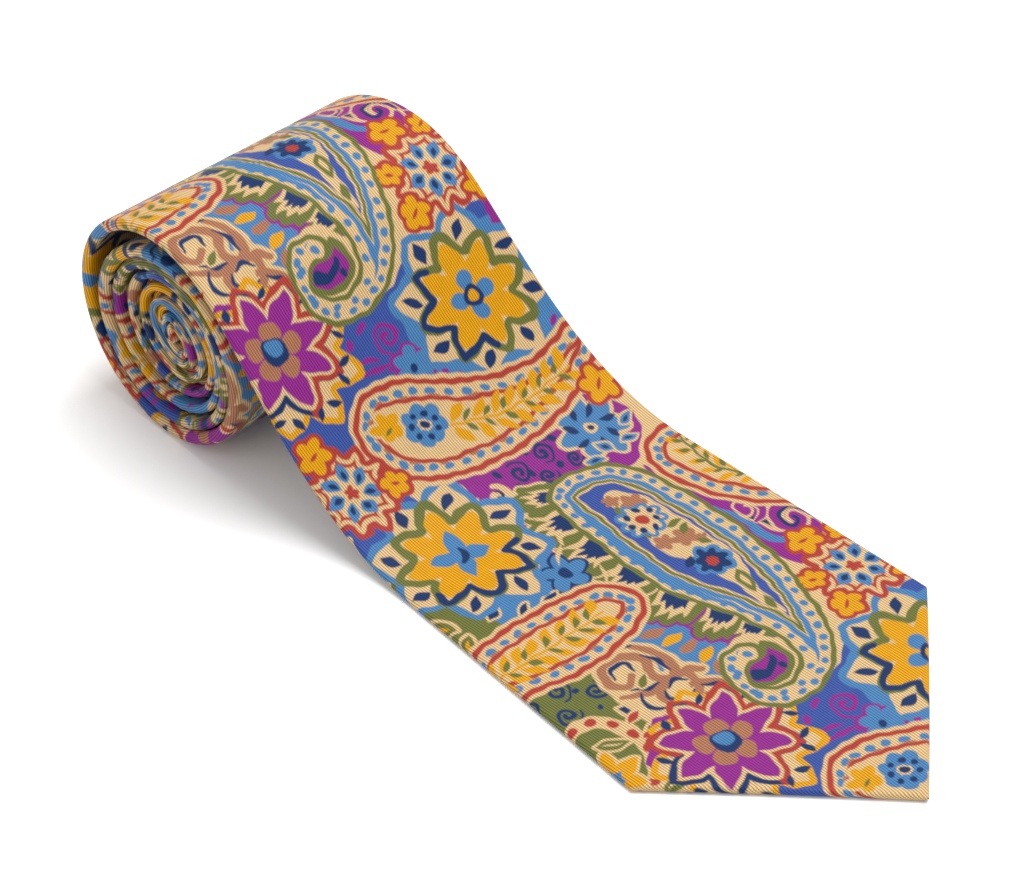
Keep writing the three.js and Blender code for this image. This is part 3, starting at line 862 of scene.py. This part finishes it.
def silk_columns(s, front_count, back_count):
    """Across, up and opened-out places of the silk's columns at each s: from the
    turned-in edge of one flap, round the front, to that of the other."""
    half = half_width(s)[:, None]
    straight = np.clip((s - POINT_LENGTH + POINT_EASING) / (2 * POINT_EASING), 0, 1)[:, None]
    slant = np.where(s[:, None] > TIE_LENGTH / 2, 1.0, math.sqrt(2) * (1 - straight) + straight)
    fullness = np.minimum(1, np.sqrt(half / THINNING))
    fuller = EDGE_FULLER * fullness
    bulge = edge_bulge(s)[:, None]
    round_up = (HALF_THICK + EDGE_FULLER + bulge) * fullness
    round_across = np.minimum(round_up * slant, half * MOST_ROUNDED)
    flat = half - round_across

    def puff(inset):
        """1 where the edge starts to round, and 0 well in from it."""
        return np.exp(-((inset / EDGE_PUFF) ** 2))

    middle = HALF_THICK * fullness
    spread = np.linspace(-1, 1, front_count)[None, :]
    front_across = flat * spread
    front_up = middle + fuller * puff(flat - np.abs(front_across))

    swing = np.linspace(math.pi / 2, -math.pi / 2, EDGE_STEPS + 2)[None, 1:-1]
    edge_across = flat + round_across * np.cos(swing)
    edge_up = round_up * np.sin(swing) - bulge * fullness
    quarter = (round_up + round_across) * math.pi / 4
    edge_open = flat + quarter * (1 - swing * 2 / math.pi)

    gap = np.minimum(flap_gap(s)[:, None], flat * MOST_OPENED)
    in_from_edge = np.linspace(0, 1, back_count)[None, :] ** BACK_CROWDING
    back_across = flat + (gap - flat) * in_from_edge
    back_up = -middle - (2 * round_up - 2 * middle - fuller) * puff(flat - back_across)
    back_open = flat + 2 * quarter + flat - back_across
    tuck = np.array(TURN_IN)[None]
    tuck_size = np.minimum(1, (flat - gap) / 4)
    tuck_across = gap + tuck[..., 0] * tuck_size
    tuck_up = back_up[:, -1:] + tuck[..., 1] * fullness
    tuck_open = back_open[:, -1:] + np.arange(1, len(TURN_IN) + 1)[None, :] * TURN_IN_STEP

    side_across = np.hstack([edge_across, back_across, tuck_across])
    side_up = np.hstack([edge_up, back_up, tuck_up])
    side_open = np.hstack([edge_open, back_open, tuck_open])
    across = np.hstack([-side_across[:, ::-1], front_across, side_across])
    up = np.hstack([side_up[:, ::-1], front_up, side_up])
    opened = np.hstack([-side_open[:, ::-1], front_across, side_open])
    return across, up, opened


def silk_piece(name, start, end, cell, front_count, back_count, node, slot):
    """One length of the printed silk, wrapped round the tie."""
    s = np.linspace(start, end, round((end - start) / cell) + 1)
    across, up, opened = silk_columns(s, front_count, back_count)
    p, q = print_place(s[:, None], opened)
    cloth = np.stack([q, p], axis=-1)
    points = place_on_path(s, across, up)
    piece = grid_piece(name, points, cloth, slot, start, colours=print_at(p, q))
    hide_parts(node)


# ---------- Materials ----------
class Shader:
    """Builds a node tree, one node at a time."""

    def __init__(self, name):
        self.material = bpy.data.materials.new(name)
        self.material.use_nodes = True
        self.tree = self.material.node_tree
        self.surface = self.tree.nodes["Principled BSDF"]
        self.cloth = self.node("ShaderNodeUVMap", {}, uv_map="cloth_mm").outputs["UV"]

    def node(self, kind, inputs, **settings):
        node = self.tree.nodes.new(kind)
        for key, value in settings.items():
            setattr(node, key, value)
        for key, value in inputs.items():
            if isinstance(value, bpy.types.NodeSocket):
                self.tree.links.new(value, node.inputs[key])
            else:
                node.inputs[key].default_value = value
        return node

    def math(self, operation, a, b):
        return self.node("ShaderNodeMath", {0: a, 1: b}, operation=operation).outputs[0]

    def product(self, amount, *others):
        for other in others:
            amount = self.math("MULTIPLY", amount, other)
        return amount

    def printed(self):
        """The print's colours, which the points of the cloth carry."""
        return self.node("ShaderNodeAttribute", {}, attribute_name="print").outputs["Color"]

    def plain(self, colour):
        """One sRGB colour."""
        socket = self.node("ShaderNodeRGB", {}).outputs[0]
        socket.default_value = (*linear(colour), 1)
        return socket

    def stripes(self, direction, pitch, distortion=0.0, scale=1.0):
        """A soft 0 to 1 wave across the cloth, with its pitch in millimetres."""
        inputs = {
            "Vector": self.cloth, "Scale": math.pi / 10 / pitch, "Distortion": distortion,
            "Detail": 1.0, "Detail Scale": scale,
        }
        return self.node("ShaderNodeTexWave", inputs, bands_direction=direction).outputs["Fac"]

    def speckle(self, per_mm, detail=2.0):
        inputs = {"Vector": self.cloth, "Scale": per_mm, "Detail": detail}
        return self.node("ShaderNodeTexNoise", inputs).outputs["Fac"]

    def between(self, low, high, share):
        inputs = {"Value": share, "To Min": low, "To Max": high}
        return self.node("ShaderNodeMapRange", inputs).outputs[0]

    def shade(self, colour, amount):
        """colour times amount."""
        grey = self.node("ShaderNodeCombineColor", {0: amount, 1: amount, 2: amount}).outputs[0]
        inputs = {"Factor": 1.0, 6: colour, 7: grey}
        return self.node("ShaderNodeMix", inputs, data_type="RGBA", blend_type="MULTIPLY").outputs[2]

    def relief(self, height, depth_mm):
        inputs = {"Height": height, "Distance": depth_mm * MM, "Strength": 1.0}
        bump = self.node("ShaderNodeBump", inputs)
        self.tree.links.new(bump.outputs[0], self.surface.inputs["Normal"])

    def finish(self, **sockets):
        for name, value in sockets.items():
            socket = self.surface.inputs[name.replace("_", " ")]
            if isinstance(value, bpy.types.NodeSocket):
                self.tree.links.new(value, socket)
            else:
                socket.default_value = value
        return self.material


RIB_PITCH = 0.65  # the silk's ribs run along the tie
WEAVE_PITCH = 0.42
PRINT_STRENGTH = 0.66  # of the inks, under this light


def woven_silk(name, colour=None):
    """Ribbed silk, printed or of one plain colour, with the shade and light of its ribs painted into the
    colour.
    """
    shader = Shader(name)
    ribs = shader.stripes("X", RIB_PITCH, 0.5, 0.6)
    weave = shader.stripes("Y", WEAVE_PITCH, 1.2, 1.5)
    slubs = shader.speckle(0.35)
    fibres = shader.speckle(3.5)
    # Painted shade and light: the ribs scale the colour from 0.46 in their valleys to 1.24 on their crowns,
    # in step with their relief, and the weave does the same weakly. The slubs and fibres are random tone in
    # the yarn.
    light = shader.product(
        PRINT_STRENGTH, shader.between(0.46, 1.24, ribs), shader.between(0.93, 1.07, weave),
        shader.between(0.90, 1.10, slubs), shader.between(0.92, 1.08, fibres),
    )
    shader.relief(shader.math("ADD", ribs, shader.product(weave, 0.35)), 0.045)
    cloth = shader.plain(colour) if colour else shader.printed()
    return shader.finish(
        Base_Color=shader.shade(cloth, light), Roughness=shader.between(0.46, 0.58, fibres),
        Specular_IOR_Level=0.12, Sheen_Weight=0.02, Sheen_Roughness=0.4,
    )


def wool_interlining():
    shader = Shader("interlining_wool")
    warp = shader.stripes("X", 0.9, 2.0, 1.0)
    weft = shader.stripes("Y", 0.9, 2.0, 1.0)
    fuzz = shader.speckle(1.4, 4.0)
    # Painted shade: the warp and weft waves darken the colour between the threads, where their relief dips.
    # The fuzz is random tone in the wool.
    light = shader.product(
        shader.between(0.82, 1.0, warp), shader.between(0.82, 1.0, weft), shader.between(0.85, 1.1, fuzz)
    )
    shader.relief(shader.math("ADD", shader.product(warp, weft), fuzz), 0.15)
    colour = shader.shade(shader.plain((233, 226, 210)), light)
    return shader.finish(Base_Color=colour, Roughness=0.95, Sheen_Weight=0.4)


def label_cloth():
    shader = Shader("label_cloth")
    satin = shader.stripes("Y", 0.3, 0.4)
    twill = shader.stripes("DIAGONAL", 0.5, 0.3)
    # Painted shade and light: the satin wave darkens the colour in the dips of its relief and lightens it
    # on the rises. The twill stripes are a faint diagonal tone in the weave.
    light = shader.product(shader.between(0.75, 1.1, satin), shader.between(0.9, 1.1, twill))
    shader.relief(satin, 0.04)
    colour = shader.shade(shader.plain((34, 58, 102)), light)
    return shader.finish(Base_Color=colour, Roughness=0.45, Sheen_Weight=0.2)


def sewing_thread():
    shader = Shader("sewing_thread")
    coordinates = shader.node("ShaderNodeTexCoord", {}).outputs["Object"]
    inputs = {"Vector": coordinates, "Scale": 900.0, "Distortion": 0.6}
    twist = shader.node("ShaderNodeTexWave", inputs, bands_direction="DIAGONAL").outputs["Fac"]
    shader.relief(twist, 0.03)
    # Painted shade and light: the twist darkens the colour in the grooves of its relief and lightens it on
    # the ridges.
    colour = shader.shade(shader.plain((222, 205, 168)), shader.between(0.8, 1.1, twist))
    return shader.finish(Base_Color=colour, Roughness=0.55, Sheen_Weight=0.2)


CLOTHS = {  # by the slot that each belongs to
    "printed_silk": woven_silk("printed_silk"),
    "printed_silk_neck": woven_silk("printed_silk_neck"),
    "printed_silk_tail": woven_silk("printed_silk_tail"),
    "tipping_silk": woven_silk("tipping_silk", (44, 79, 142)),
    "loop_silk": woven_silk("loop_silk", (63, 116, 180)),
    "interlining_wool": wool_interlining(),
    "label_cloth": label_cloth(),
    "sewing_thread": sewing_thread(),
}

# ---------- The silk ----------
# The wide blade in six lengths, then the neck and the tail. Each has its ends along the
# tie, the size of its cells, the columns of its front and of each back flap, the packed
# part that it stands for, and its slot.
END_GAP = 0.3
draw_print()
for silk_length in (
    ("silk_cloth_point", TIP_CUT + END_GAP, POINT_END, 0.3, 330, 46, "silk_blade_free_end", "printed_silk"),
    ("silk_cloth_free_end", POINT_END, TOUCH_DOWN, 0.3, 330, 46, "silk_blade_free_end", "printed_silk"),
    ("silk_cloth_rise", TOUCH_DOWN, CREST_START, 0.3, 300, 46, "silk_blade_rise", "printed_silk"),
    ("silk_cloth_crest", CREST_START, ROLL_START, 0.32, 280, 46, "silk_blade_rise", "printed_silk"),
    ("silk_cloth_outer_turn", ROLL_START, INNER_TURNS, 0.48, 150, 40, "silk_blade_rolled", "printed_silk"),
    ("silk_cloth_inner_turns", INNER_TURNS, BLADE_SEAM, 0.6, 90, 36, "silk_blade_rolled", "printed_silk"),
    ("silk_cloth_neck", BLADE_SEAM, TAIL_SEAM, 0.7, 64, 30, "silk_neck", "printed_silk_neck"),
    ("silk_cloth_tail", TAIL_SEAM, TIE_LENGTH - END_GAP, 0.7, 64, 30, "silk_tail", "printed_silk_tail"),
):
    silk_piece(*silk_length)

# ---------- The interlining, the tipping, the keeper loop and the label ----------
INSIDE_GAP = 0.75  # from the tie's edge to the edge of what lies inside it
END_MARGIN = 6  # from the narrow end to what lies inside it
INTERLINING_UP = 0.1
TIPPING_UP = -0.45
INTERLINING_JOIN = 880
TIPPING_END = TOUCH_DOWN - 10


def strip_piece(name, start, end, up, cell, count, node, slot, rests_on):
    """A flat sheet that follows the path at one height inside the tie."""
    s = np.linspace(start, end, round((end - start) / cell) + 1)
    half = np.maximum(half_width(s) - INSIDE_GAP, 0.1)
    across = half[:, None] * np.linspace(-1, 1, count)[None, :]
    points = place_on_path(s, across, np.full_like(across, up))
    cloth = np.stack([across, np.broadcast_to(s[:, None], across.shape)], axis=-1)
    piece = grid_piece(name, points, cloth, slot, start)
    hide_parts(node)


for lining in (
    ("interlining_wool_sheet", HEM, TOUCH_DOWN, INTERLINING_UP, 1.5, 24, "interlining_free_end",
     "interlining_wool", "tipping_sheet_blade"),
    ("interlining_wool_blade", TOUCH_DOWN, INTERLINING_JOIN, INTERLINING_UP, 1.2, 14, "interlining_blade",
     "interlining_wool", "silk_cloth_rise"),
    ("interlining_wool_tail", INTERLINING_JOIN, TIE_LENGTH - END_MARGIN, INTERLINING_UP, 1.2, 14,
     "interlining_tail", "interlining_wool", "silk_cloth_tail"),
    ("tipping_sheet_blade", HEM, TIPPING_END, TIPPING_UP, 1.0, 40, "tipping_blade", "tipping_silk",
     "silk_cloth_free_end"),
    ("tipping_sheet_tail", TAIL_TACK + END_MARGIN, TIE_LENGTH - END_MARGIN, TIPPING_UP, 1.0, 24,
     "tipping_tail", "tipping_silk", "silk_cloth_tail"),
):
    strip_piece(*lining)

# Two bands across the back, each sewn down by a foot at either end. The loop stands up
# between its feet, and the label lies flat.
LOOP = {"start": 196, "end": 208, "half": 26, "foot": 4, "rise": 0.9, "thick": 0.35}
LABEL_PLACE = {"start": 150, "end": 172, "half": 21, "foot": 2.4, "rise": 0, "thick": 0.2}
BAND_LIFT = 0.1
BAND_SQUARENESS = 0.18  # nearer 0, the corners of the band's section are squarer
BAND_FLATNESS = 0.6


def band_piece(name, band, node, slot):
    """A folded band of cloth across the back."""
    start, end, half, foot, rise, thick = band.values()
    width = end - start
    swing = np.linspace(0, 2 * math.pi, 28, endpoint=False)
    cos, sin = np.cos(swing), np.sin(swing)
    along = np.sign(cos) * np.abs(cos) ** BAND_SQUARENESS * width / 2
    through = np.sign(sin) * np.abs(sin) ** BAND_FLATNESS * thick / 2
    across = np.linspace(-half, half, 90)
    stand = BAND_LIFT + rise * smooth_step((half - foot - np.abs(across)) / foot)
    up = -(HALF_THICK + 0.02 + stand[None, :] + thick / 2) + through[:, None]
    points = place_on_path((start + end) / 2 + along, across[None, :], up)
    cloth = np.stack(np.broadcast_arrays(along[:, None], across[None, :]), axis=-1)
    points, cloth = np.swapaxes(points, 0, 1), np.swapaxes(cloth, 0, 1)
    piece = grid_piece(name, points, cloth, slot, start, wrap=True)
    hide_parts(node)


band_piece("keeper_loop_band", LOOP, "keeper_loop", "loop_silk")
band_piece("blank_label_cloth", LABEL_PLACE, "blank_label", "label_cloth")

# ---------- Threads ----------
TUBE_SIDES = 6
END_TAPER = 0.4
SLIP_SPACING = 6.0
SLIP_MARGIN = 3  # from each bar tack
SLIP_REACH = 1.4  # half a slip stitch, along the tie
SLIP_SLANT = 0.75  # and across it
SLIP_RADIUS = 0.11
BAR_RADIUS = 0.15
BAR_COVER_RADIUS = 0.12
BAR_COVER_REACH = 0.75
SEAM_SPACING = 2.0
SEAM_STITCH = 1.4
SEAM_MARGIN = 1.5
SEAM_RADIUS = 0.07
FOOT_SPACING = 1.9
FOOT_STITCH = 1.4
FOOT_RADIUS = 0.12


def tube_points(s, across, up, radius):
    """Rings of points round a thread that runs through (s, across, up)."""
    x, side, z, face_x, face_z = PATH.at(s)
    line = np.stack([x + face_x * up, side + across, z + face_z * up], axis=-1)
    heading = np.gradient(line, axis=0)
    heading /= np.linalg.norm(heading, axis=1, keepdims=True)
    face = np.stack([face_x, np.zeros_like(face_x), face_z], axis=-1)
    out = np.cross(heading, face)
    out /= np.linalg.norm(out, axis=1, keepdims=True)
    above = np.cross(out, heading)
    angle = np.linspace(0, 2 * math.pi, TUBE_SIDES, endpoint=False)[None, :, None]
    taper = np.ones(len(s))
    taper[[0, -1]] = END_TAPER
    ring = out[:, None] * np.cos(angle) + above[:, None] * np.sin(angle)
    return line[:, None] + ring * radius * taper[:, None, None]


def thread_piece(name, stitches, node):
    """Many short stitches as one piece."""
    vertices, faces, base = [], [], 0
    for stitch in stitches:
        ring = tube_points(*stitch)
        rows, sides = ring.shape[:2]
        index = base + np.arange(rows * sides).reshape(rows, sides)
        around = np.hstack([index, index[:, :1]])
        quads = np.stack([around[:-1, :-1], around[1:, :-1], around[1:, 1:], around[:-1, 1:]], axis=-1)
        faces += [*quads.reshape(-1, 4).tolist(), index[0].tolist(), index[-1][::-1].tolist()]
        vertices.append(ring.reshape(-1, 3))
        base += rows * sides
    mesh = bpy.data.meshes.new(name)
    mesh.from_pydata((np.vstack(vertices) * MM).tolist(), [], faces)
    first_place = stitches[0][0]
    piece = new_piece(name, mesh, "sewing_thread", start=first_place[0])
    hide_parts(node)


def arched(start, end, steps=7):
    """From start to end in even steps, with a 0-1-0 arch."""
    t = np.linspace(0, 1, steps)
    return start + (end - start) * t, np.sin(math.pi * t)


def slip_stitches():
    """Slanting stitches that draw the two back flaps together."""
    stitches = []
    for at in np.arange(BLADE_TACK + SLIP_MARGIN, TAIL_TACK - SLIP_MARGIN, SLIP_SPACING):
        s, arch = arched(at - SLIP_REACH, at + SLIP_REACH)
        across = arched(-SLIP_SLANT, SLIP_SLANT)[0]
        stitches.append((s, across, -HALF_THICK - 0.05 - 0.12 * arch, SLIP_RADIUS))
    thread_piece("slip_stitches", stitches, "slip_stitch_thread")


def bar_tack(name, at, half, node):
    """A short bar of satin stitches across the end of the slit."""
    stitches = []
    for along in (-0.5, -0.17, 0.17, 0.5):
        across, arch = arched(-half, half, 11)
        up = -HALF_THICK + 0.02 - 0.16 * arch**0.5
        stitches.append((np.full_like(across, at + along), across, up, BAR_RADIUS))
    for place in np.linspace(-half * 0.8, half * 0.8, 9):
        s, arch = arched(at - BAR_COVER_REACH, at + BAR_COVER_REACH)
        up = -HALF_THICK - 0.04 - 0.24 * arch
        stitches.append((s, np.full_like(s, place), up, BAR_COVER_RADIUS))
    thread_piece(name, stitches, node)


def seam_stitches(name, at, node):
    """Small stitches over the seam between two lengths of silk, on the printed side."""
    stitches = []
    reach = half_width(at) - SEAM_MARGIN
    for place in np.arange(-reach, reach, SEAM_SPACING):
        across, arch = arched(place, place + SEAM_STITCH, 5)
        up = HALF_THICK + 0.02 + 0.03 * arch
        stitches.append((np.full_like(across, at), across, up, SEAM_RADIUS))
    thread_piece(name, stitches, node)


def end_stitches(name, band, hand, node):
    """A row of short stitches through one foot of the loop or the label."""
    stitches = []
    across = hand * (band["half"] - band["foot"] / 2)
    up = -HALF_THICK - BAND_LIFT - band["thick"] - 0.06
    for at in np.arange(band["start"] + 0.9, band["end"] - 1.2, FOOT_SPACING):
        s, arch = arched(at, at + FOOT_STITCH, 5)
        stitches.append((s, np.full_like(s, across), up - 0.08 * arch, FOOT_RADIUS))
    thread_piece(name, stitches, node)


slip_stitches()
bar_tack("bar_tack_blade_satin", at=BLADE_TACK, half=3.4, node="bar_tack_blade")
bar_tack("bar_tack_tail_satin", at=TAIL_TACK, half=1.6, node="bar_tack_tail")
seam_stitches("seam_stitches_blade_to_neck", BLADE_SEAM, "seam_thread_blade_to_neck")
seam_stitches("seam_stitches_neck_to_tail", TAIL_SEAM, "seam_thread_neck_to_tail")
for end_name, end_hand in (("near", -1), ("far", 1)):
    end_stitches("loop_stitches_" + end_name, LOOP, end_hand, "keeper_loop_stitches_" + end_name)
    end_stitches("label_edge_stitches_" + end_name, LABEL_PLACE, end_hand, "label_stitches_" + end_name)


# ---------- The studio ----------
AIM = Vector((-0.02968, 0.01137, 0.0))  # the middle of the picture, on the floor
CAMERA_AZIMUTH = math.radians(-42.58)
CAMERA_ELEVATION = math.radians(40.85)
CAMERA_DISTANCE = 0.9
LENS = 131.03
SENSOR = 36.0
SOFTBOX_DISTANCE = 1.4
FLOOR_REACH = 3.0
FLOOR_DROP = 0.0002  # it lies just under the cloth
FLOOR_WHITE = (0.92, 0.92, 0.92)
WORLD_STRENGTH = 0.68


def direction(azimuth, elevation):
    level = math.cos(elevation)
    return Vector((level * math.cos(azimuth), level * math.sin(azimuth), math.sin(elevation)))


def aim_from(thing, target, towards, distance):
    """Puts a camera or a light at a distance from its target, looking back at it."""
    thing.location = target + towards * distance
    thing.rotation_euler = (-towards).to_track_quat("-Z", "Y").to_euler()


def add_camera():
    data = bpy.data.cameras.new("camera")
    data.lens = LENS
    data.sensor_fit = "HORIZONTAL"
    data.sensor_width = SENSOR
    data.clip_start = 0.01
    camera = link_new("camera", data)
    aim_from(camera, AIM, direction(CAMERA_AZIMUTH, CAMERA_ELEVATION), CAMERA_DISTANCE)
    bpy.context.scene.camera = camera


def add_softbox(name, azimuth, elevation, size, power):
    data = bpy.data.lights.new(name, "AREA")
    data.size = size
    data.energy = power
    towards = direction(math.radians(azimuth), math.radians(elevation))
    aim_from(link_new(name, data), Vector(), towards, SOFTBOX_DISTANCE)


def add_floor():
    mesh = bpy.data.meshes.new("floor")
    edges = (-FLOOR_REACH, FLOOR_REACH)
    corners = [(x, y, -FLOOR_DROP) for x in edges for y in edges]
    mesh.from_pydata(corners, [], [(0, 2, 3, 1)])
    shader = Shader("floor_paper")
    white = (*FLOOR_WHITE, 1)
    mesh.materials.append(shader.finish(Base_Color=white, Roughness=0.9, Specular_IOR_Level=0.1))
    link_new("floor", mesh)


def add_world():
    world = bpy.data.worlds.new("studio")
    world.use_nodes = True
    background = world.node_tree.nodes["Background"]
    background.inputs["Color"].default_value = (1, 1, 1, 1)
    background.inputs["Strength"].default_value = WORLD_STRENGTH
    bpy.context.scene.world = world


add_camera()
add_floor()
add_world()
add_softbox("key", azimuth=84, elevation=75, size=1.0, power=19.5)
add_softbox("fill", azimuth=-80, elevation=40, size=0.9, power=3)
bpy.context.scene.view_settings.view_transform = "Standard"

bpy.context.view_layer.update()
